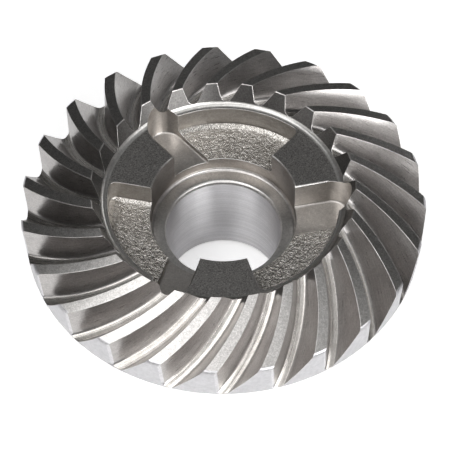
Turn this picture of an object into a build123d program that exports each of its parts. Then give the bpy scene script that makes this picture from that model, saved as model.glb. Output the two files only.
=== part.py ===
from build123d import *
from math import atan, cos, degrees, radians, sin, tan
import os

# Reverse gear of a dog-clutch drive: a spiral bevel ring, three clutch lugs and a bearing journal in one forging.
# Millimetres and degrees. Z is the bore axis, the end face of the journal lies at Z = 0 and the lugs face up.

# Hub
hub_height = 39.6
bore_diameter = 30.0
bore_lead_in = 0.7
bore_lead_in_depth = 1.4
counterbore_diameter = 38.1
counterbore_depth = 12.1
edge_break = 0.4

# Bearing journal and back of the gear
journal_diameter = 40.0
journal_length = 20.0
journal_chamfer = 1.0
bore_end_chamfer = 0.6
shoulder_diameter = 60.0
shoulder_corner = 1.5

# Clutch lugs, and the pockets that the dogs run in
lug_count = 3
lug_angle = 36.2
first_lug_at = 30.0
pocket_radius = 30.0
pocket_depth = 7.5
pocket_corner = 1.8
pocket_foot = 1.1
drive_slot_width = 9.5
drive_slot_depth = 8.5
drive_slot_run = 27.9
drive_edge_chamfer = 0.5
cut_clearance = 1.0

# Gear blank
outside_diameter = 105.0
heel_taper = 5.0
heel_chamfer_width = 0.65
heel_chamfer_height = 0.8
face_angle = 69.2
toe_tip_diameter = 68.2
toe_tip_rise = 5.75
toe_edge_break = 0.3
rim_hollow = 1.0
rim_depth = 12.2

# Teeth, cut one space at a time by a face mill. Its axis stands square to the root plane, apart from a small tilt
tooth_count = 23
pinion_tooth_count = 11
spiral_angle = 37.5
pressure_angle = 20.0
root_angle = 59.8
mean_depth = 7.8
mill_tilt = 4.6
cutter_radius = 57.15
point_width = 1.7
blade_corner = 0.4
blade_run_out = 3.0
first_space_at = 12.95

bore_radius = bore_diameter / 2
counterbore_radius = counterbore_diameter / 2
journal_radius = journal_diameter / 2
shoulder_radius = shoulder_diameter / 2
outside_radius = outside_diameter / 2
toe_radius = toe_tip_diameter / 2
pitch_angle = degrees(atan(tooth_count / pinion_tooth_count))

# Corners of the blank's half section, as radius and height
counterbore_floor = hub_height - counterbore_depth
land_radius = outside_radius - heel_chamfer_width
toe_height = hub_height + toe_tip_rise
land_height = toe_height - (land_radius - toe_radius) / tan(radians(face_angle))
heel_height = land_height - heel_chamfer_height
rim_height = hub_height - rim_depth
heel_foot_radius = outside_radius - (heel_height - rim_height) * tan(radians(heel_taper))
toe_foot_radius = toe_radius - toe_tip_rise / tan(radians(pitch_angle))

# Turned blank: the toe face stands square to the pitch cone, and the heel is turned almost to a cylinder
with BuildPart() as reverse_gear:
    with BuildSketch(Plane.XZ) as half_section:
        with BuildLine():
            Polyline(
                (bore_radius, 0),
                (journal_radius, 0),
                (journal_radius, journal_length),
                (shoulder_radius, journal_length),
                (heel_foot_radius, rim_height),
                (outside_radius, heel_height),
                (land_radius, land_height),
                (toe_radius, toe_height),
                (toe_foot_radius, hub_height),
                (counterbore_radius, hub_height),
                (counterbore_radius, counterbore_floor),
                (bore_radius + bore_lead_in, counterbore_floor),
                (bore_radius, counterbore_floor - bore_lead_in_depth),
                close=True,
            )
        make_face()

        def corner(radius, height):
            return half_section.vertices().sort_by_distance((radius, height))[0]

        chamfer(corner(toe_foot_radius, hub_height), rim_hollow)
        chamfer(corner(shoulder_radius, journal_length), shoulder_corner)
        chamfer(corner(journal_radius, 0), journal_chamfer)
        chamfer(corner(bore_radius, 0), bore_end_chamfer)
        chamfer(corner(toe_radius, toe_height), toe_edge_break)
        chamfer(corner(counterbore_radius, hub_height), edge_break)
    revolve(axis=Axis.Z)

# Face mill: its trapezoidal blade, with the tip at Z = 0, swept about the mill's own Z axis just far enough to
# run out past both ends of a tooth
blade_height = mean_depth + blade_run_out
blade_spread = blade_height * tan(radians(pressure_angle))
face_width = (land_radius - toe_radius) / sin(radians(face_angle))
mill_sweep = degrees((face_width / cos(radians(spiral_angle)) + 2 * blade_height) / cutter_radius)
with BuildPart() as face_mill:
    with BuildSketch(Plane.XZ.rotated((0, 0, -mill_sweep / 2))) as blade:
        with BuildLine():
            Polyline(
                (cutter_radius - point_width / 2, 0),
                (cutter_radius + point_width / 2, 0),
                (cutter_radius + point_width / 2 + blade_spread, blade_height),
                (cutter_radius - point_width / 2 - blade_spread, blade_height),
                close=True,
            )
        make_face()
        chamfer(blade.vertices().group_by(Axis.Y)[0], blade_corner)
    revolve(axis=Axis.Z, revolution_arc=mill_sweep)

# The mill sinks to the root plane, which tips by mill_tilt about the gear's radius halfway along the tooth
mean_radius = (land_radius + toe_radius) / 2
mean_height = (land_height + toe_height) / 2
mean_root = Vector(mean_radius, 0, mean_height - mean_depth / sin(radians(root_angle)))
along_root = Vector(sin(radians(root_angle)), 0, -cos(radians(root_angle)))
off_root = Vector(cos(radians(root_angle)), 0, sin(radians(root_angle)))
root_plane = Plane(origin=mean_root, x_dir=along_root, z_dir=off_root).rotated((mill_tilt, 0, 0))
mill_seat = root_plane.location * Rotation(0, 0, 90 - spiral_angle) * Pos(-cutter_radius, 0, 0)

with reverse_gear:
    for space in PolarLocations(0, tooth_count, start_angle=first_space_at):
        with Locations(space * mill_seat):
            add(face_mill.part, mode=Mode.SUBTRACT, clean=False)

# Pocket between two lugs, forged with a sloped foot along its outer wall and along the lug that it starts from.
# It is drawn for a lug on the X axis and ends inside the next lug's drive slot.
pocket_floor = hub_height - pocket_depth
inside_slot = degrees(atan(drive_slot_width / 2 / pocket_radius))
with BuildPart() as pocket:
    with BuildSketch(Plane.XY.offset(pocket_floor)) as pocket_outline:
        with BuildLine():
            lug_side = PolarLine((0, 0), pocket_radius, lug_angle / 2)
            outer_wall = CenterArc(
                (0, 0), pocket_radius, lug_angle / 2, 360 / lug_count - lug_angle - inside_slot
            )
            open_end = Line(outer_wall @ 1, (0, 0))
        make_face()
        fillet(pocket_outline.vertices().sort_by_distance(lug_side @ 1)[0], pocket_corner)
    extrude(amount=pocket_depth + cut_clearance)
    floor_edges = pocket.edges().group_by(Axis.Z)[0]
    open_edge_middle = open_end @ 0.5 + Vector(0, 0, pocket_floor)
    chamfer(floor_edges.sort_by_distance(open_edge_middle)[1:], pocket_foot)

# Drive slot, drawn for a drive face in the plane Y = 0: an end mill runs out from the bore along the drive
# face and stops in the rim, and the face's top edge is chamfered
slot_floor = hub_height - drive_slot_depth
with BuildPart() as drive_slot:
    with BuildSketch(Plane.YZ) as slot_section:
        with BuildLine():
            Polyline(
                (0, slot_floor),
                (0, hub_height - drive_edge_chamfer),
                (drive_edge_chamfer + cut_clearance, hub_height + cut_clearance),
                (-drive_slot_width, hub_height + cut_clearance),
                (-drive_slot_width, slot_floor),
                close=True,
            )
        make_face()
    extrude(amount=drive_slot_run)
    with BuildSketch(Plane.XY.offset(slot_floor)) as slot_end:
        with Locations((drive_slot_run, -drive_slot_width / 2)):
            Circle(drive_slot_width / 2)
    extrude(amount=toe_height - slot_floor)

with reverse_gear:
    with PolarLocations(0, lug_count, start_angle=first_lug_at):
        add(pocket.part, mode=Mode.SUBTRACT)
    with PolarLocations(0, lug_count, start_angle=first_lug_at - lug_angle / 2):
        add(drive_slot.part, mode=Mode.SUBTRACT)

reverse_gear.part.label = "reverse_gear"
os.makedirs("parts", exist_ok=True)
export_step(reverse_gear.part, "parts/reverse_gear.step")
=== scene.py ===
from math import atan2, copysign, cos, pi, radians, sin, tan

import bmesh
import bpy
from mathutils import Matrix, Vector


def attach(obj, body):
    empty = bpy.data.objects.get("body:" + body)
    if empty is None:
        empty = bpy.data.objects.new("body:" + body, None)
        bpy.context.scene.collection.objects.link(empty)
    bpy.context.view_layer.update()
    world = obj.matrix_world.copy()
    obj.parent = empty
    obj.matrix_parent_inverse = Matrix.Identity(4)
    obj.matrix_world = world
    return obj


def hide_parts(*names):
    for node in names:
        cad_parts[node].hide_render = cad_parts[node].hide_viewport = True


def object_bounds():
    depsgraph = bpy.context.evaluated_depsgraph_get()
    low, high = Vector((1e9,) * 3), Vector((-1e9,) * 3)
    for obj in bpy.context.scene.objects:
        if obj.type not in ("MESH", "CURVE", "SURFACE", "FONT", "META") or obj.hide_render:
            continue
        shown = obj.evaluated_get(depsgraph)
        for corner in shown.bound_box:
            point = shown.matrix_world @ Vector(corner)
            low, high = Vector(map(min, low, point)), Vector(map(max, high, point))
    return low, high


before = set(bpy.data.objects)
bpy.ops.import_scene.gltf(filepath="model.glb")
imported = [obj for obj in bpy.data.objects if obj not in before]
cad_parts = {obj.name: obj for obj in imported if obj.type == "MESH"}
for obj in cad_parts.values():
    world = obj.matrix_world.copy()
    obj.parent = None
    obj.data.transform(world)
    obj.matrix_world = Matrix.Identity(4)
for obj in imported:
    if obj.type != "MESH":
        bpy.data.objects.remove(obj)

cadBox = [list(corner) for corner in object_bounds()]
scene = bpy.context.scene
scene.view_settings.view_transform = "Standard"
print("frame loaded")

# Camera: it looks down on the clutch lugs, a little off their centre
cameraValues = {
    "distance": 0.73147,
    "elevation": 53.7557,
    "yaw": 0.03266,
    "pitch": -0.50773,
    "roll": -0.16336,
    "lens": 226.42,
    "sensor": 36.0,
    "aimHeight": 0.0396,
    "farthest": 20,
}


def makeCamera(values):
    elevation = radians(values["elevation"])
    back = Vector((0, -cos(elevation), sin(elevation)))
    side = Vector((1, 0, 0))
    up = back.cross(side)
    look = -back + side * tan(radians(values["yaw"])) + up * tan(radians(values["pitch"]))
    look.normalize()
    side = look.cross(Vector((0, 0, 1))).normalized()
    up = side.cross(look)
    roll = radians(values["roll"])
    rolledSide = side * cos(roll) + up * sin(roll)
    rolledUp = up * cos(roll) - side * sin(roll)
    data = bpy.data.cameras.new("camera")
    data.lens = values["lens"]
    data.sensor_width = values["sensor"]
    data.clip_end = values["farthest"]
    camera = bpy.data.objects.new("camera", data)
    place = Matrix((rolledSide, rolledUp, -look)).transposed().to_4x4()
    place.translation = back * values["distance"] + Vector((0, 0, values["aimHeight"]))
    camera.matrix_world = place
    scene.collection.objects.link(camera)
    scene.camera = camera


makeCamera(cameraValues)
print("camera made")


def nodesOf(material):
    material.use_nodes = True
    tree = material.node_tree
    tree.nodes.clear()
    return tree


def mathNode(tree, kind, *values):
    math = tree.nodes.new("ShaderNodeMath")
    math.operation = kind
    for socket, value in zip(math.inputs, values):
        if isinstance(value, (int, float)):
            socket.default_value = value
        else:
            tree.links.new(value, socket)
    return math.outputs[0]


def rangeNode(tree, value, fromLow, fromHigh, low, high, smooth=False):
    spread = tree.nodes.new("ShaderNodeMapRange")
    spread.interpolation_type = "SMOOTHSTEP" if smooth else "LINEAR"
    for name, number in (("From Min", fromLow), ("From Max", fromHigh), ("To Min", low), ("To Max", high)):
        spread.inputs[name].default_value = number
    tree.links.new(value, spread.inputs["Value"])
    return spread.outputs["Result"]


# Floor: a white table under the gear, which the camera sees run on, with a soft shadow left on it
floorValues = {
    "halfWidth": 4.0,
    "drop": 0.0004,             # so far below the gear
    "paint": 0.9,
    "farPaint": 0.2,            # past the table's edge, except to the camera
    "glow": 0.48,
    "mirrored": 0.45,           # share of the glow that the steel mirrors
    "tableEdge": (0.10, 0.19),
}


def makeFloor(values):
    mesh = bpy.data.meshes.new("floor")
    half = values["halfWidth"]
    height = cadBox[0][2] - values["drop"]
    corners = [(-half, -half, height), (half, -half, height), (half, half, height), (-half, half, height)]
    mesh.from_pydata(corners, [], [(0, 1, 2, 3)])
    floor = bpy.data.objects.new("floor", mesh)
    scene.collection.objects.link(floor)
    material = bpy.data.materials.new("pale floor")
    tree = nodesOf(material)
    nodes, links = tree.nodes, tree.links
    path = nodes.new("ShaderNodeLightPath")
    place = nodes.new("ShaderNodeTexCoord")
    reach = nodes.new("ShaderNodeVectorMath")
    reach.operation = "LENGTH"
    links.new(place.outputs["Object"], reach.inputs[0])
    near = rangeNode(tree, reach.outputs["Value"], *values["tableEdge"], 1, 0, smooth=True)
    shown = mathNode(tree, "MAXIMUM", path.outputs["Is Camera Ray"], near)
    seen = mathNode(tree, "MAXIMUM", path.outputs["Is Glossy Ray"], path.outputs["Is Transmission Ray"])
    seen = mathNode(tree, "MULTIPLY", seen, values["mirrored"])
    seen = mathNode(tree, "MAXIMUM", seen, path.outputs["Is Camera Ray"])
    glow = mathNode(tree, "MULTIPLY", mathNode(tree, "MULTIPLY", seen, shown), values["glow"])
    paint = nodes.new("ShaderNodeBsdfDiffuse")
    links.new(rangeNode(tree, shown, 0, 1, values["farPaint"], values["paint"]), paint.inputs["Color"])
    emission = nodes.new("ShaderNodeEmission")
    links.new(glow, emission.inputs["Strength"])
    both = nodes.new("ShaderNodeAddShader")
    links.new(paint.outputs[0], both.inputs[0])
    links.new(emission.outputs[0], both.inputs[1])
    output = nodes.new("ShaderNodeOutputMaterial")
    links.new(both.outputs[0], output.inputs["Surface"])
    mesh.materials.append(material)


makeFloor(floorValues)

# Soft boxes, each given by the direction that it stands in, seen from the gear, its distance and its size
lampValues = {
    "overhead": {"azimuth": 196, "elevation": 79, "distance": 1.0, "size": (0.44, 0.92), "power": 2.6},
    "left high": {"azimuth": 180, "elevation": 56, "distance": 1.0, "size": (0.42, 0.42), "power": 0.4},
    "right high": {"azimuth": -5, "elevation": 66, "distance": 1.0, "size": (0.42, 0.36), "power": 0.2},
    "front left high": {"azimuth": -135, "elevation": 58, "distance": 1.0, "size": (0.42, 0.36), "power": 1.2},
    "front high": {"azimuth": -68, "elevation": 58, "distance": 1.0, "size": (0.6, 0.36), "power": 0.5},
    "front left": {"azimuth": -130, "elevation": 32, "distance": 1.0, "size": (0.6, 0.36), "power": 1.8},
    "front": {"azimuth": -92, "elevation": 32, "distance": 1.0, "size": (0.42, 0.36), "power": 1.6},
    "front right": {"azimuth": -54, "elevation": 32, "distance": 1.0, "size": (0.42, 0.36), "power": 3.0},
    "right": {"azimuth": -25, "elevation": 32, "distance": 1.0, "size": (0.42, 0.36), "power": 1.4},
    "low front": {"azimuth": -52, "elevation": 9, "distance": 1.0, "size": (0.8, 0.22), "power": 5.0},
    "low left": {"azimuth": -155, "elevation": 9, "distance": 1.0, "size": (0.6, 0.22), "power": 0.9},
    "low right": {"azimuth": 45, "elevation": 8, "distance": 1.0, "size": (0.4, 0.2), "power": 0.7},
    "back": {"azimuth": 90, "elevation": 58, "distance": 1.0, "size": (0.9, 0.5), "power": 0.12},
}


def makeLamps(values):
    centre = Vector((0, 0, cameraValues["aimHeight"]))
    for name, lamp in values.items():
        data = bpy.data.lights.new(name, "AREA")
        data.shape = "RECTANGLE"
        data.size, data.size_y = lamp["size"]
        data.energy = lamp["power"]
        azimuth, elevation = radians(lamp["azimuth"]), radians(lamp["elevation"])
        away = Vector((cos(azimuth) * cos(elevation), sin(azimuth) * cos(elevation), sin(elevation)))
        light = bpy.data.objects.new(name, data)
        facing = away.to_track_quat("Z", "Y").to_matrix().to_4x4()
        light.matrix_world = Matrix.Translation(centre + away * lamp["distance"]) @ facing
        scene.collection.objects.link(light)


makeLamps(lampValues)

# Studio round the table: dark, with a white backdrop that the camera sees and the steel mirrors at the horizon
studioValues = {"room": 0.05, "backdrop": 1.0, "backdropTop": 0.09, "mirrored": 0.6}


def makeStudio(values):
    world = bpy.data.worlds.new("studio")
    scene.world = world
    tree = nodesOf(world)
    path = tree.nodes.new("ShaderNodeLightPath")
    place = tree.nodes.new("ShaderNodeTexCoord")
    way = tree.nodes.new("ShaderNodeSeparateXYZ")
    tree.links.new(place.outputs["Generated"], way.inputs[0])
    low = rangeNode(tree, way.outputs["Z"], 0, values["backdropTop"], values["mirrored"], 0, smooth=True)
    seen = mathNode(tree, "MAXIMUM", path.outputs["Is Glossy Ray"], path.outputs["Is Transmission Ray"])
    seen = mathNode(tree, "MAXIMUM", mathNode(tree, "MULTIPLY", seen, low), path.outputs["Is Camera Ray"])
    sky = tree.nodes.new("ShaderNodeBackground")
    tree.links.new(rangeNode(tree, seen, 0, 1, values["room"], values["backdrop"]), sky.inputs["Strength"])
    output = tree.nodes.new("ShaderNodeOutputWorld")
    tree.links.new(sky.outputs[0], output.inputs["Surface"])


makeStudio(studioValues)
print("floor and lamps made")

# Gear, in millimetres and degrees
gearValues = {
    # the sizes that its finish follows, as the solid has them
    "hubHeight": 39.6,
    "boreRadius": 15.0,
    "leadIn": 0.7,
    "leadInDepth": 1.4,
    "counterboreRadius": 19.05,
    "counterboreDepth": 12.1,
    "journalRadius": 20.0,
    "journalLength": 20.0,
    "shoulderRadius": 30.0,
    "outsideRadius": 52.5,
    "heelTaper": 5.0,
    "heelChamferWidth": 0.65,
    "heelChamferHeight": 0.8,
    "faceAngle": 69.2,
    "toeRadius": 34.1,
    "toeRise": 5.75,
    "rimDepth": 12.2,
    "rimHollow": 1.0,
    "toothCount": 23,
    "pinionToothCount": 11,
    "spiralAngle": 37.5,
    "pressureAngle": 20.0,
    "rootAngle": 59.8,
    "meanDepth": 7.8,
    "millTilt": 4.6,
    "cutterRadius": 57.15,
    "pointWidth": 1.7,
    "bladeCorner": 0.4,
    "bladeHeight": 10.8,
    "firstSpace": 12.95,
    "lugCount": 3,
    "firstLug": 30.0,
    "lugAngle": 36.2,
    "pocketDepth": 7.5,
    "pocketRadius": 30.0,
    "pocketFoot": 1.1,
    "slotDepth": 8.5,
    "slotWidth": 9.5,
    "slotRun": 27.9,
    # how closely a face lies on what it is read as: distances, shares of a line's length, and cosines
    "surfaceTolerance": 0.07,
    "turnedAlong": (-0.02, 1.02),
    "turnedFacing": 0.99,
    "milledAlong": (-0.2, 1.1),
    "milledFacing": 0.98,
    "milledSector": 0.7,
    "levelFacing": 0.99,
    "uprightFacing": 0.05,
    "wallToFloor": 0.9,
    "rimFrom": 5.0,
    "rimSlack": 0.2,
    # clean-up of the mesh
    "mergeDistance": 0.01,
    "cutDistance": 0.001,
    "sliverWidth": 0.0005,
    "flatAngle": 0.2,
    # rounds and worn edges
    "heelBand": 0.5,
    "heelRows": 1,
    "edgeRound": 0.12,
    "edgeRows": 2,
    "edgeAngle": 25.0,
    "blendAngle": 60.0,
    "leastNormal": 0.1,
    "seatRound": 0.9,
    "slotRound": 0.6,
    "roundRows": 4,
    # tooth roots: heights of the rows of corners, and how the root's round fades into the flank
    "rootRows": (0.25, 0.55, 0.9, 1.4, 2.1, 3.0),
    "rootBlend": 3.0,
    "rootFade": 2.4,
    "bottomTurn": 0.7,
    "grainShift": (40, 15),     # from one tooth space to the next, so that no two look alike
    # forged floors: their grid, and how wide and high they rise at the outer wall and at a lug
    "reliefReach": 31.0,
    "reliefGrid": 0.55,
    "reliefShift": 0.013,
    "dishWidth": 4.6,
    "dishRise": 1.15,
    "sideWidth": 3.0,
    "sideRise": 0.75,
    "sideSlack": 0.1,
    "floorSlack": 0.01,
    "footFade": 2,
    "leastRelief": 0.01,        # so that Set Material finds every forged corner
}
millimetre = 0.001

finishNames = [
    "milled flank", "milled root", "turned land", "toe face", "turned heel", "lug top", "rim hollow",
    "pocket floor", "pocket foot", "pocket wall", "drive slot", "counterbore wall", "counterbore seat",
    "honed bore", "turned back", "ground journal", "forged back", "heel band", "round corner", "worn edge",
]
finishNumber = {name: number for number, name in enumerate(finishNames)}
blendFinishes = {finishNumber[name] for name in ("rim hollow", "heel band", "round corner", "worn edge")}
forgedFinishes = {finishNumber[name] for name in ("pocket floor", "pocket foot")}
landStart, toeStart, hubStart, leadInStart = 6, 7, 8, 11        # places in the turned outline
milledFrom = 100        # surface numbers: turned surfaces count from 0, the milled ones from here
bladeRows = 5
bandRow, bottomRow = 3, 4       # the flank that has the band at its heel, and the blade's tip


def turnedOutline(sizes):
    # half section of the blank: radius, height, and the finish of the surface that starts there
    hub = sizes["hubHeight"]
    landRadius = sizes["outsideRadius"] - sizes["heelChamferWidth"]
    toeHeight = hub + sizes["toeRise"]
    landHeight = toeHeight - (landRadius - sizes["toeRadius"]) / tan(radians(sizes["faceAngle"]))
    heelHeight = landHeight - sizes["heelChamferHeight"]
    rimHeight = hub - sizes["rimDepth"]
    rimRadius = sizes["outsideRadius"] - (heelHeight - rimHeight) * tan(radians(sizes["heelTaper"]))
    seat = hub - sizes["counterboreDepth"]
    return [
        (sizes["boreRadius"], 0, "turned back"),
        (sizes["journalRadius"], 0, "ground journal"),
        (sizes["journalRadius"], sizes["journalLength"], "turned back"),
        (sizes["shoulderRadius"], sizes["journalLength"], "forged back"),
        (rimRadius, rimHeight, "turned heel"),
        (sizes["outsideRadius"], heelHeight, "heel band"),
        (landRadius, landHeight, "turned land"),
        (sizes["toeRadius"], toeHeight, "toe face"),
        (sizes["toeRadius"] - sizes["toeRise"] * sizes["pinionToothCount"] / sizes["toothCount"], hub, "lug top"),
        (sizes["counterboreRadius"], hub, "counterbore wall"),
        (sizes["counterboreRadius"], seat, "counterbore seat"),
        (sizes["boreRadius"] + sizes["leadIn"], seat, "counterbore seat"),
        (sizes["boreRadius"], seat - sizes["leadInDepth"], "honed bore"),
        (sizes["boreRadius"], 0, "turned back"),
    ]


def millSeat(sizes):
    # the face mill that cuts the space at azimuth 0: its centre, its axis, and the way from centre to tooth
    outline = turnedOutline(sizes)
    landRadius, landHeight, _ = outline[landStart]
    toeHeight = outline[toeStart][1]
    root, tilt, spiral = radians(sizes["rootAngle"]), radians(sizes["millTilt"]), radians(sizes["spiralAngle"])
    depth = sizes["meanDepth"] / sin(root)
    meanRoot = Vector(((landRadius + sizes["toeRadius"]) / 2, 0, (landHeight + toeHeight) / 2 - depth))
    along = Vector((sin(root), 0, -cos(root)))
    off = Vector((cos(root), 0, sin(root)))
    across = Vector((0, 1, 0))
    lean = Matrix.Rotation(tilt, 3, "X")
    toTooth = lean @ (along * sin(spiral) + across * cos(spiral))
    return meanRoot - toTooth * sizes["cutterRadius"], lean @ off, toTooth


def bladeOutline(sizes):
    # the blade's sides: which side, ends as distance from the mill's axis and height over its tip, and finish
    radius, half, corner = sizes["cutterRadius"], sizes["pointWidth"] / 2, sizes["bladeCorner"]
    lean = radians(sizes["pressureAngle"])
    rows = []
    for side in (1, -1):
        tip = (radius + side * (half - corner), 0.0)
        foot = (radius + side * (half + corner * sin(lean)), corner * cos(lean))
        top = (radius + side * (half + sizes["bladeHeight"] * tan(lean)), sizes["bladeHeight"])
        rows.append((side, tip, foot, "milled root"))
        rows.append((side, foot, top, "milled flank"))
    rows.append((1, (radius - half + corner, 0.0), (radius + half - corner, 0.0), "milled root"))
    return rows


class Surfaces:
    # the turned and milled surfaces as rules: which one a face lies on, its true normal, and its grain

    def __init__(self, sizes):
        self.sizes = sizes
        self.outline = turnedOutline(sizes)
        self.centre, self.axis, self.toTooth = millSeat(sizes)
        self.blade = bladeOutline(sizes)
        first, count = radians(sizes["firstSpace"]), sizes["toothCount"]
        self.turns = [first + 2 * pi * space / count for space in range(count)]

    def inMill(self, point, turn):
        # distance from the mill's axis, height over its tip, and the direction away from the axis
        local = Matrix.Rotation(-turn, 3, "Z") @ point - self.centre
        height = local.dot(self.axis)
        away = local - self.axis * height
        return away.length, height, away.normalized()

    def turned(self, number):
        # both ends of a turned surface as radius and height, and its finish
        start, end = self.outline[number], self.outline[number + 1]
        return Vector(start[:2]), Vector(end[:2]), start[2]

    def find(self, point, normal):
        # surface number and finish of a face, or None
        sizes, tolerance = self.sizes, self.sizes["surfaceTolerance"]
        radius = point.xy.length
        here = Vector((radius, point.z))
        facing = Vector((normal.xy.dot(point.xy) / max(radius, tolerance), normal.z))
        first, last = sizes["turnedAlong"]
        for number in range(len(self.outline) - 1):
            start, end, name = self.turned(number)
            line = end - start
            outward = Vector((line.y, -line.x)).normalized()
            along = (here - start).dot(line) / line.length_squared
            off = abs((here - start).dot(outward))
            if first < along < last and off < tolerance and facing.dot(outward) > sizes["turnedFacing"]:
                return number, name
        best, found = tolerance, None
        first, last = sizes["milledAlong"]
        azimuth = atan2(point.y, point.x)
        for space, turn in enumerate(self.turns):
            if cos(azimuth - turn) < sizes["milledSector"]:
                continue
            distance, height, away = self.inMill(point, turn)
            here = Vector((distance, height))
            local = Matrix.Rotation(-turn, 3, "Z") @ normal
            facing = Vector((local.dot(away), local.dot(self.axis)))
            for row, (side, start, end, name) in enumerate(self.blade):
                line = Vector(end) - Vector(start)
                outward = Vector((-line.y, line.x)).normalized() * side
                along = (here - Vector(start)).dot(line) / line.length_squared
                off = abs((here - Vector(start)).dot(outward))
                if first < along < last and off < best and facing.dot(outward) > sizes["milledFacing"]:
                    best, found = off, (milledFrom + space * bladeRows + row, name)
        return found

    def normal(self, number, point):
        if number < milledFrom:
            start, end, _ = self.turned(number)
            line = (end - start).normalized()
            around = Vector((point.x, point.y, 0)).normalized()
            if number == leadInStart:       # worn round between the seat and the bore
                share = min(max((point.xy.length - self.sizes["boreRadius"]) / self.sizes["leadIn"], 0.0), 1.0)
                return (Vector((0, 0, share)) - around * (1 - share)).normalized()
            return Vector((around.x * line.y, around.y * line.y, -line.x))
        space, row = divmod(number - milledFrom, bladeRows)
        turn = self.turns[space]
        distance, height, away = self.inMill(point, turn)
        if row == bottomRow:
            off = distance - self.sizes["cutterRadius"]
            side = copysign(1, off)
            share = min(abs(off) / self.sizes["pointWidth"], 1.0) * self.sizes["bottomTurn"]
        else:
            side = self.blade[row][0]
            share = 1 - (1 - min(max(height / self.sizes["rootBlend"], 0.0), 1.0)) ** self.sizes["rootFade"]
        lift = (pi / 2 - radians(self.sizes["pressureAngle"])) * share
        local = self.axis * cos(lift) - away * side * sin(lift)
        return Matrix.Rotation(turn, 3, "Z") @ local

    def hollow(self, point):
        # the hollow round the lug tops turns from their normal to that of the toe faces
        width, foot = self.sizes["rimHollow"], self.outline[hubStart][0]
        toe = self.normal(toeStart, point)
        share = min(max((point.xy.length - foot + width) / (width * (1 + toe.z)), 0.0), 1.0)
        return (Vector((0, 0, 1 - share)) + toe * share).normalized()

    def grain(self, number, point, centre):
        # how far a point lies along the cut and across it, in metres
        if number < milledFrom:
            start, end, _ = self.turned(number)
            line = (end - start).normalized()
            middle = atan2(centre.y, centre.x)
            around = (atan2(point.y, point.x) - middle + pi) % (2 * pi) - pi + middle
            across = (Vector((point.xy.length, point.z)) - start).dot(line)
            return around * (start.x + end.x) / 2 * millimetre, across * millimetre
        space, row = divmod(number - milledFrom, bladeRows)
        distance, height, away = self.inMill(point, self.turns[space])
        side, start, _, _ = self.blade[row]
        shiftAlong, shiftAcross = self.sizes["grainShift"]
        angle = atan2(away.dot(self.axis.cross(self.toTooth)), away.dot(self.toTooth))
        along = angle * self.sizes["cutterRadius"] + space * shiftAlong
        across = (Vector((distance, height)) - Vector(start)).length * side + space * shiftAcross
        return along * millimetre, across * millimetre


def otherFinish(point, normal, sizes):
    # pockets, drive slots and small breaks, told apart by where they lie
    radius, tolerance, hub = point.xy.length, sizes["surfaceTolerance"], sizes["hubHeight"]
    pocketFloor, slotFloor = hub - sizes["pocketDepth"], hub - sizes["slotDepth"]
    if point.z < hub - sizes["rimDepth"]:
        return "turned back"
    if normal.z > sizes["levelFacing"]:
        if abs(point.z - pocketFloor) < tolerance:
            return "pocket floor"
        if abs(point.z - slotFloor) < tolerance:
            return "drive slot"
    if abs(normal.z) < sizes["uprightFacing"]:
        half = sizes["slotWidth"] / 2
        for lug in range(sizes["lugCount"]):
            turn = radians(sizes["firstLug"] - sizes["lugAngle"] / 2 + 360 * lug / sizes["lugCount"])
            local = Matrix.Rotation(-turn, 3, "Z") @ point
            onSide = abs(abs(local.y + half) - half) < tolerance
            offEnd = abs((local.xy - Vector((sizes["slotRun"], -half))).length - half)
            onEnd = offEnd < tolerance and local.x > sizes["slotRun"] - tolerance
            if local.x > 0 and (onSide or onEnd):
                return "drive slot"
        return "pocket wall"
    if point.z < pocketFloor + sizes["pocketFoot"] + tolerance:
        return "pocket foot"
    facesIn = radius > sizes["counterboreRadius"] + sizes["rimFrom"] and normal.xy.dot(point.xy) < 0
    if facesIn and hub - tolerance < point.z < hub + sizes["rimHollow"] + sizes["rimSlack"]:
        return "rim hollow"
    return "worn edge"


def readFinishes(shape, surfaces, layer, sizes):
    for face in shape.faces:
        centre = face.calc_center_median()
        found = surfaces.find(centre, face.normal)
        number, finish = found if found else (-1, otherFinish(centre, face.normal, sizes))
        face[layer] = number
        face.material_index = finishNumber[finish]


def sharpEdges(shape, layer, sizes):
    # the convex edges that a tumbled part has rounded, and those that carry the band on each tooth's heel
    heel, flank = finishNumber["turned heel"], finishNumber["milled flank"]
    sharpNames = ("turned back", "ground journal", "honed bore", "worn edge", "heel band", "round corner")
    left = {finishNumber[name] for name in sharpNames}
    worn, band = [], []
    for edge in shape.edges:
        if len(edge.link_faces) != 2 or not edge.is_convex or edge.calc_face_angle() < radians(sizes["edgeAngle"]):
            continue
        kinds = {face.material_index for face in edge.link_faces}
        if kinds & left or len(kinds) == 1:
            continue
        rows = {(face[layer] - milledFrom) % bladeRows for face in edge.link_faces if face[layer] >= milledFrom}
        (band if kinds == {heel, flank} and rows == {bandRow} else worn).append(edge)
    return worn, band


def hollowEdges(shape, names, sizes):
    # the concave edges at the foot of a wall, between faces of the named finishes
    kinds = {finishNumber[name] for name in names}
    return [
        edge for edge in shape.edges
        if len(edge.link_faces) == 2 and not edge.is_convex
        and {face.material_index for face in edge.link_faces} == kinds
        and abs(edge.link_faces[0].normal.z - edge.link_faces[1].normal.z) > sizes["wallToFloor"]
    ]


def cutAcross(shape, faces, place, normal, sizes):
    # a plane's cut through some faces, which gives them corners along it
    edges = list({edge for face in faces for edge in face.edges})
    corners = list({corner for face in faces for corner in face.verts})
    bmesh.ops.bisect_plane(
        shape, geom=faces + edges + corners, dist=sizes["cutDistance"], plane_co=place, plane_no=normal
    )


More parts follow.
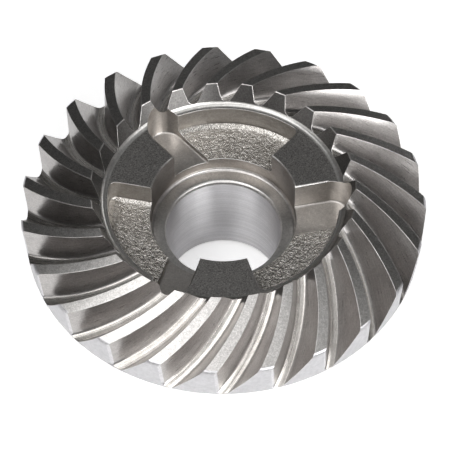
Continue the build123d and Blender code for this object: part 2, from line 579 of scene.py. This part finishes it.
def roundRoots(shape, surfaces, layer, sizes):
    # rows of corners along each tooth space, and the root between them brought to a full round
    half, lean = sizes["pointWidth"] / 2, radians(sizes["pressureAngle"])
    radius = half / tan((pi / 2 - lean) / 2)
    for space, turn in enumerate(surfaces.turns):
        spin = Matrix.Rotation(turn, 3, "Z")
        first = milledFrom + space * bladeRows
        for height in sizes["rootRows"]:
            faces = [face for face in shape.faces if first <= face[layer] < first + bladeRows]
            place = spin @ (surfaces.centre + surfaces.axis * height)
            cutAcross(shape, faces, place, spin @ surfaces.axis, sizes)
        faces = [face for face in shape.faces if first <= face[layer] < first + bladeRows]
        for corner in {corner for face in faces for corner in face.verts}:
            distance, height, _ = surfaces.inMill(corner.co, turn)
            off = distance - sizes["cutterRadius"]
            if abs(off) < radius * cos(lean):
                rise = radius - (radius ** 2 - off ** 2) ** 0.5
                if rise > height:
                    corner.co += spin @ surfaces.axis * (rise - height)


def dishPockets(shape, foot, sizes):
    # a grid of corners on the forged floors, which rise towards their walls as a die leaves them
    reach, step = sizes["reliefReach"], sizes["reliefGrid"]
    for axis in range(2):
        across = Vector((1 - axis, axis, 0))
        for line in range(int(-reach / step), int(reach / step) + 1):
            place = line * step + sizes["reliefShift"]
            faces = [
                face for face in shape.faces
                if face.material_index in forgedFinishes
                and min(corner.co[axis] for corner in face.verts) < place
                and max(corner.co[axis] for corner in face.verts) > place
            ]
            if faces:
                cutAcross(shape, faces, across * place, across, sizes)
    floor = sizes["hubHeight"] - sizes["pocketDepth"]
    for corner in shape.verts:
        kinds = {face.material_index for face in corner.link_faces}
        if not kinds & forgedFinishes or abs(corner.co.z - floor) > sizes["pocketFoot"] + sizes["floorSlack"]:
            continue
        inward = sizes["pocketRadius"] - corner.co.xy.length
        rise = sizes["dishRise"] * max(1 - inward / sizes["dishWidth"], 0) ** 2
        for lug in range(sizes["lugCount"]):
            turn = radians(sizes["firstLug"] + sizes["lugAngle"] / 2 + 360 * lug / sizes["lugCount"])
            local = Matrix.Rotation(-turn, 3, "Z") @ corner.co
            if local.x > 0 and -sizes["sideSlack"] < local.y < sizes["sideWidth"]:
                rise = max(rise, sizes["sideRise"] * (1 - max(local.y, 0) / sizes["sideWidth"]) ** 2)
        corner.co.z = max(corner.co.z, floor + rise)
        corner[foot] = min(rise / sizes["dishRise"] * sizes["footFade"], 1.0)


def cornerNormals(shape, surfaces, layer, sizes):
    # true normals on turned and milled surfaces, averaged ones on the rest, and rounds that run between them
    near = cos(radians(sizes["edgeAngle"]))
    wide = cos(radians(sizes["blendAngle"]))
    known = {}
    for face in shape.faces:
        if face.material_index in blendFinishes:
            continue
        for loop in face.loops:
            vertex = loop.vert
            if face[layer] >= 0:
                known[loop.index] = surfaces.normal(face[layer], vertex.co)
            else:
                total = Vector()
                for other in vertex.link_loops:
                    if other.face.material_index == face.material_index and other.face.normal.dot(face.normal) > near:
                        total += other.face.normal * other.calc_angle()
                known[loop.index] = total.normalized()
    normals = dict(known)
    for face in shape.faces:
        if face.material_index not in blendFinishes:
            continue
        for loop in face.loops:
            if face.material_index == finishNumber["rim hollow"]:
                normals[loop.index] = surfaces.hollow(loop.vert.co)
                continue
            total = Vector()
            for other in loop.vert.link_loops:
                if other.index in known and known[other.index].dot(face.normal) > wide:
                    total += known[other.index]
            if total.length < sizes["leastNormal"]:
                for other in loop.vert.link_loops:
                    if other.face.normal.dot(face.normal) > wide:
                        total += other.face.normal * other.calc_angle()
            normals[loop.index] = total.normalized()
    return [normals[number] for number in range(len(normals))]


def grainMap(shape, surfaces, layer):
    # along the tool's path and across it on milled and turned surfaces, and plain X and Y on the rest
    grain = shape.loops.layers.uv.new("grain")
    for face in shape.faces:
        centre = face.calc_center_median()
        for loop in face.loops:
            point = loop.vert.co
            if face[layer] >= 0:
                loop[grain].uv = surfaces.grain(face[layer], point, centre)
            else:
                loop[grain].uv = point.xy * millimetre


def roundEdges(shape, edges, width, finish, segments):
    bmesh.ops.bevel(
        shape,
        geom=edges,
        offset=width,
        offset_type="OFFSET",
        profile_type="SUPERELLIPSE",
        profile=0.5,            # a true round
        segments=segments,
        affect="EDGES",
        clamp_overlap=False,
        loop_slide=True,
        material=finishNumber[finish],
    )


def shapeGear(name, sizes):
    # the CAD mesh in millimetres, its surfaces read, with rounded roots, dished pockets and worn edges
    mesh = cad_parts[name].data.copy()
    mesh.materials.clear()
    mesh.transform(Matrix.Scale(1 / millimetre, 4))
    shape = bmesh.new()
    shape.from_mesh(mesh)
    bmesh.ops.remove_doubles(shape, verts=shape.verts, dist=sizes["mergeDistance"])
    bmesh.ops.dissolve_degenerate(shape, edges=shape.edges, dist=sizes["mergeDistance"])
    shape.normal_update()
    surfaces = Surfaces(sizes)
    layer = shape.faces.layers.int.new("surface")
    relief = shape.verts.layers.float.new("relief")
    foot = shape.verts.layers.float.new("foot")
    readFinishes(shape, surfaces, layer, sizes)
    flat = radians(sizes["flatAngle"])
    bmesh.ops.dissolve_limit(shape, angle_limit=flat, verts=shape.verts, edges=shape.edges, delimit={"MATERIAL"})
    print("gear surfaces read:", len(shape.faces), "faces")
    roundRoots(shape, surfaces, layer, sizes)
    dishPockets(shape, foot, sizes)
    _, band = sharpEdges(shape, layer, sizes)
    roundEdges(shape, band, sizes["heelBand"], "heel band", sizes["heelRows"])
    seatEdges = hollowEdges(shape, ("counterbore wall", "counterbore seat"), sizes)
    roundEdges(shape, seatEdges, sizes["seatRound"], "round corner", sizes["roundRows"])
    slotEdges = hollowEdges(shape, ("drive slot",), sizes)
    roundEdges(shape, slotEdges, sizes["slotRound"], "drive slot", sizes["roundRows"])
    worn, _ = sharpEdges(shape, layer, sizes)
    roundEdges(shape, worn, sizes["edgeRound"], "worn edge", sizes["edgeRows"])
    for corner in shape.verts:
        kinds = {face.material_index for face in corner.link_faces}
        forged = kinds and kinds <= forgedFinishes
        corner[relief] = 1 + sizes["leastRelief"] - corner[foot] if forged else 0.0
    bmesh.ops.triangulate(shape, faces=[face for face in shape.faces if len(face.verts) > 4])
    bmesh.ops.dissolve_degenerate(shape, edges=shape.edges, dist=sizes["sliverWidth"])
    shape.to_mesh(mesh)
    shape.free()
    print("gear shaped:", len(mesh.polygons), "faces")
    return mesh, surfaces


def smoothGear(mesh, surfaces, sizes):
    # grain map and corner normals, then back to metres
    shape = bmesh.new()
    shape.from_mesh(mesh)
    layer = shape.faces.layers.int["surface"]
    shape.normal_update()
    count = 0
    for face in shape.faces:
        face.smooth = True
        for loop in face.loops:
            loop.index = count
            count += 1
    grainMap(shape, surfaces, layer)
    normals = cornerNormals(shape, surfaces, layer, sizes)
    shape.to_mesh(mesh)
    shape.free()
    mesh.transform(Matrix.Scale(millimetre, 4))
    mesh.normals_split_custom_set(normals)


# Forged relief of the pocket floors: depth in millimetres, lumps per millimetre
reliefValues = {"Depth": 0.16, "Lumps": 0.75, "Roughness": 0.6, "Seed": 11.0}


def forgedRelief(values, material):
    # moves the forged floors up and down along their normals, by a mask that is 0 at their edges
    tree = bpy.data.node_groups.new("forged relief", "GeometryNodeTree")
    tree.interface.new_socket("Geometry", in_out="INPUT", socket_type="NodeSocketGeometry")
    for name in values:
        tree.interface.new_socket(name, in_out="INPUT", socket_type="NodeSocketFloat")
    tree.interface.new_socket("Geometry", in_out="OUTPUT", socket_type="NodeSocketGeometry")
    nodes, links = tree.nodes, tree.links
    start, end = nodes.new("NodeGroupInput"), nodes.new("NodeGroupOutput")
    lumps = nodes.new("ShaderNodeTexNoise")
    lumps.noise_dimensions = "4D"
    lumps.inputs["Detail"].default_value = 4
    links.new(start.outputs["Lumps"], lumps.inputs["Scale"])
    links.new(start.outputs["Roughness"], lumps.inputs["Roughness"])
    links.new(start.outputs["Seed"], lumps.inputs["W"])
    place = nodes.new("GeometryNodeInputPosition")
    links.new(place.outputs["Position"], lumps.inputs["Vector"])
    mask = nodes.new("GeometryNodeInputNamedAttribute")
    mask.data_type = "FLOAT"
    mask.inputs["Name"].default_value = "relief"
    # noise seldom leaves 0.25 to 0.75, which becomes -1 to 1
    height = mathNode(tree, "SUBTRACT", lumps.outputs["Fac"], 0.5)
    height = mathNode(tree, "MULTIPLY", mathNode(tree, "MULTIPLY", height, 4), start.outputs["Depth"])
    height = mathNode(tree, "MULTIPLY", height, mask.outputs["Attribute"])
    normal = nodes.new("GeometryNodeInputNormal")
    offset = nodes.new("ShaderNodeVectorMath")
    offset.operation = "SCALE"
    links.new(normal.outputs["Normal"], offset.inputs[0])
    links.new(height, offset.inputs["Scale"])
    move = nodes.new("GeometryNodeSetPosition")
    links.new(start.outputs["Geometry"], move.inputs["Geometry"])
    links.new(offset.outputs["Vector"], move.inputs["Offset"])
    single = nodes.new("GeometryNodeRealizeInstances")
    links.new(move.outputs["Geometry"], single.inputs["Geometry"])
    forged = nodes.new("FunctionNodeCompare")
    forged.inputs["B"].default_value = 0.0
    links.new(mask.outputs["Attribute"], forged.inputs["A"])
    paint = nodes.new("GeometryNodeSetMaterial")
    paint.inputs["Material"].default_value = material
    links.new(single.outputs["Geometry"], paint.inputs["Geometry"])
    links.new(forged.outputs["Result"], paint.inputs["Selection"])
    links.new(paint.outputs["Geometry"], end.inputs["Geometry"])
    return tree


def pressRelief(mesh, values, material):
    piece = bpy.data.objects.new("relief", mesh)
    scene.collection.objects.link(piece)
    press = piece.modifiers.new("forged relief", "NODES")
    press.node_group = forgedRelief(values, material)
    for socket in press.node_group.interface.items_tree:
        if socket.in_out == "INPUT" and socket.name in values:
            press[socket.identifier] = values[socket.name]
    result = bpy.data.meshes.new_from_object(piece.evaluated_get(bpy.context.evaluated_depsgraph_get()))
    piece.modifiers.remove(press)
    bpy.data.objects.remove(piece)
    return result


def steelFinish(name, values):
    material = bpy.data.materials.new(name)
    tree = nodesOf(material)
    nodes, links = tree.nodes, tree.links
    place = nodes.new("ShaderNodeTexCoord")

    def noise(source, scale, detail, stretch=(1, 1, 1)):
        mapping = nodes.new("ShaderNodeMapping")
        mapping.inputs["Scale"].default_value = stretch
        links.new(source, mapping.inputs["Vector"])
        pattern = nodes.new("ShaderNodeTexNoise")
        pattern.inputs["Scale"].default_value = scale
        pattern.inputs["Detail"].default_value = detail
        links.new(mapping.outputs["Vector"], pattern.inputs["Vector"])
        return pattern.outputs["Fac"]

    def ranged(source, low, high, start=0.3, end=0.7):
        # noise seldom leaves 0.3 to 0.7
        return rangeNode(tree, source, start, end, low, high)

    mottle = noise(place.outputs["Object"], values["mottleScale"], 4)
    speck = noise(place.outputs["Object"], values["speckScale"], 2)
    grainSource = place.outputs["UV"] if values["grainOn"] == "cut" else place.outputs["Object"]
    grain = noise(grainSource, 1, 3, values["grainScale"])
    tint = nodes.new("ShaderNodeMix")
    tint.data_type = "RGBA"
    tint.inputs["A"].default_value = (*values["colour"], 1)
    tint.inputs["B"].default_value = (*values["stain"], 1)
    links.new(ranged(mottle, 0, 1, 0.35, 0.65), tint.inputs["Factor"])
    shade = nodes.new("ShaderNodeMix")
    shade.data_type = "RGBA"
    shade.blend_type = "MULTIPLY"
    shade.inputs["Factor"].default_value = 1
    links.new(tint.outputs["Result"], shade.inputs["A"])
    light = mathNode(
        tree, "MULTIPLY",
        ranged(speck, 1 - values["speckShade"], 1 + values["speckShade"]),
        ranged(grain, 1 - values["grainShade"], 1 + values["grainShade"]),
    )
    height = mathNode(tree, "MULTIPLY", speck, values["speckDepth"])
    height = mathNode(tree, "ADD", height, mathNode(tree, "MULTIPLY", grain, values["grainDepth"]))
    if values["paintedFootLight"]:
        foot = nodes.new("ShaderNodeAttribute")     # 0 on the level floor, 1 at its wall
        foot.attribute_name = "foot"
        # painted light: the floor's colour is scaled from 1 on the level to the given share at its wall, in place of
        # the band where the smooth foot mirrors the lamps
        paintedLight = rangeNode(tree, foot.outputs["Fac"], 0.1, 0.9, 1, values["paintedFootLight"])
        light = mathNode(tree, "MULTIPLY", light, paintedLight)
        height = mathNode(tree, "MULTIPLY", height, rangeNode(tree, foot.outputs["Fac"], 0.1, 1, 1, 0.3))
    links.new(light, shade.inputs["B"])
    bump = nodes.new("ShaderNodeBump")
    bump.inputs["Distance"].default_value = 1
    links.new(height, bump.inputs["Height"])
    surface = nodes.new("ShaderNodeBsdfPrincipled")
    surface.inputs["Metallic"].default_value = 1
    links.new(shade.outputs["Result"], surface.inputs["Base Color"])
    rough = mathNode(tree, "ADD", ranged(grain, -values["roughSpread"], values["roughSpread"]), values["rough"])
    links.new(rough, surface.inputs["Roughness"])
    links.new(bump.outputs["Normal"], surface.inputs["Normal"])
    if values["brushed"]:
        path = nodes.new("ShaderNodeTangent")
        path.direction_type = "UV_MAP"
        path.uv_map = "grain"
        links.new(path.outputs["Tangent"], surface.inputs["Tangent"])
        surface.inputs["Anisotropic"].default_value = values["brushed"]
        surface.inputs["Anisotropic Rotation"].default_value = 0.25
    output = nodes.new("ShaderNodeOutputMaterial")
    links.new(surface.outputs[0], output.inputs["Surface"])
    return material


# Finishes: colours, then patterns as repeats per metre and depths in metres
plainFinish = {
    "colour": (0.50, 0.48, 0.47),
    "stain": (0.42, 0.40, 0.39),
    "mottleScale": 150,
    "speckScale": 2600,
    "speckShade": 0.12,
    "speckDepth": 0.000003,
    "grainOn": "place",         # or "cut", where the grain follows the tool's path
    "grainScale": (900, 900, 900),
    "grainShade": 0.08,
    "grainDepth": 0.000002,
    "rough": 0.4,
    "roughSpread": 0.01,
    "brushed": 0,
    "paintedFootLight": 0,             # painted light on a forged floor at its wall, as a share of its colour on the level floor, or 0 where there is none
}
finishValues = {
    "milled flank": {
        "colour": (0.52, 0.502, 0.49),
        "stain": (0.45, 0.43, 0.42),
        "grainOn": "cut",
        "grainScale": (260, 2900, 1),
        "grainShade": 0.13,
        "grainDepth": 0.0000025,
        "speckShade": 0.14,
        "speckDepth": 0.000002,
        "rough": 0.29,
        "roughSpread": 0.02,
        "brushed": 0.5,
    },
    "milled root": {
        "colour": (0.70, 0.672, 0.64),
        "stain": (0.59, 0.56, 0.525),
        "mottleScale": 500,
        "grainOn": "cut",
        "grainScale": (80, 2600, 1),
        "grainShade": 0.16,
        "grainDepth": 0.000004,
        "speckShade": 0.1,
        "speckDepth": 0.000002,
        "rough": 0.28,
        "roughSpread": 0.02,
        "brushed": 0.5,
    },
    "turned land": {
        "colour": (0.60, 0.585, 0.57),
        "stain": (0.49, 0.475, 0.46),
        "mottleScale": 1500,
        "speckScale": 3400,
        "speckShade": 0.24,
        "speckDepth": 0.0000055,
        "rough": 0.29,
    },
    "toe face": {
        "colour": (0.20, 0.194, 0.188),
        "stain": (0.16, 0.154, 0.15),
        "mottleScale": 900,
        "speckShade": 0.25,
        "rough": 0.38,
    },
    "turned heel": {
        "colour": (0.62, 0.615, 0.63),
        "stain": (0.59, 0.585, 0.60),
        "speckShade": 0.04,
        "speckDepth": 0.000001,
        "rough": 0.42,
    },
    "lug top": {
        "colour": (0.47, 0.455, 0.44),
        "stain": (0.30, 0.29, 0.28),
        "mottleScale": 2200,
        "speckScale": 4200,
        "speckShade": 0.45,
        "speckDepth": 0.000015,
        "rough": 0.34,
    },
    "rim hollow": {"colour": (0.64, 0.63, 0.61), "stain": (0.58, 0.57, 0.55), "rough": 0.34},
    "pocket floor": {
        "colour": (0.56, 0.54, 0.51),
        "stain": (0.44, 0.42, 0.39),
        "mottleScale": 700,
        "speckScale": 2600,
        "speckShade": 0.3,
        "speckDepth": 0.00035,
        "grainScale": (1100, 1100, 1100),
        "grainDepth": 0.0006,
        "rough": 0.24,
        # a little painted shade at the foot of the wall
        "paintedFootLight": 0.95,
    },
    "pocket foot": {"colour": (0.72, 0.71, 0.69), "stain": (0.64, 0.62, 0.6), "speckDepth": 0.00001, "rough": 0.4},
    "pocket wall": {"colour": (0.39, 0.37, 0.35), "stain": (0.31, 0.29, 0.27), "speckDepth": 0.00001, "rough": 0.36},
    "drive slot": {"colour": (0.55, 0.525, 0.50), "stain": (0.47, 0.445, 0.42), "rough": 0.34},
    "counterbore wall": {"colour": (0.35, 0.318, 0.29), "stain": (0.27, 0.243, 0.22), "rough": 0.34, "brushed": 0.5},
    "counterbore seat": {"colour": (0.70, 0.685, 0.665), "stain": (0.62, 0.605, 0.585), "rough": 0.32},
    "honed bore": {
        "colour": (0.82, 0.81, 0.825),
        "stain": (0.76, 0.75, 0.762),
        "grainOn": "cut",
        "grainScale": (25, 2200, 1),
        "grainShade": 0.1,
        "grainDepth": 0.000001,
        "speckShade": 0.04,
        "speckDepth": 0.000001,
        "rough": 0.52,
        "brushed": 0.97,
    },
    "turned back": {
        "colour": (0.50, 0.485, 0.475),
        "grainOn": "cut",
        "grainScale": (20, 1800, 1),
        "grainShade": 0.14,
        "grainDepth": 0.000003,
        "rough": 0.34,
        "brushed": 0.5,
    },
    "ground journal": {
        "colour": (0.64, 0.632, 0.64),
        "stain": (0.60, 0.592, 0.60),
        "grainOn": "cut",
        "grainScale": (30, 2400, 1),
        "grainShade": 0.06,
        "grainDepth": 0.000001,
        "speckShade": 0.04,
        "speckDepth": 0.000001,
        "rough": 0.24,
        "brushed": 0.6,
    },
    "forged back": {
        "colour": (0.44, 0.42, 0.405),
        "stain": (0.33, 0.31, 0.295),
        "mottleScale": 260,
        "speckScale": 2200,
        "speckShade": 0.2,
        "speckDepth": 0.00003,
        "rough": 0.4,
    },
    "heel band": {"colour": (0.72, 0.71, 0.725), "stain": (0.68, 0.67, 0.685), "rough": 0.38},
    "round corner": {"colour": (0.62, 0.60, 0.58), "rough": 0.32},
    "worn edge": {"colour": (0.66, 0.65, 0.63), "speckDepth": 0.000001, "rough": 0.34},
}

gearMesh, gearSurfaces = shapeGear("reverse_gear", gearValues)
for name in finishNames:
    gearMesh.materials.append(steelFinish(name, {**plainFinish, **finishValues[name]}))
gearMesh = pressRelief(gearMesh, reliefValues, gearMesh.materials[finishNumber["pocket floor"]])
smoothGear(gearMesh, gearSurfaces, gearValues)
gearMesh.name = "gear_steel"
gear = bpy.data.objects.new("gear_steel", gearMesh)
scene.collection.objects.link(gear)
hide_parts("reverse_gear")
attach(gear, "root")
print("gear finished")
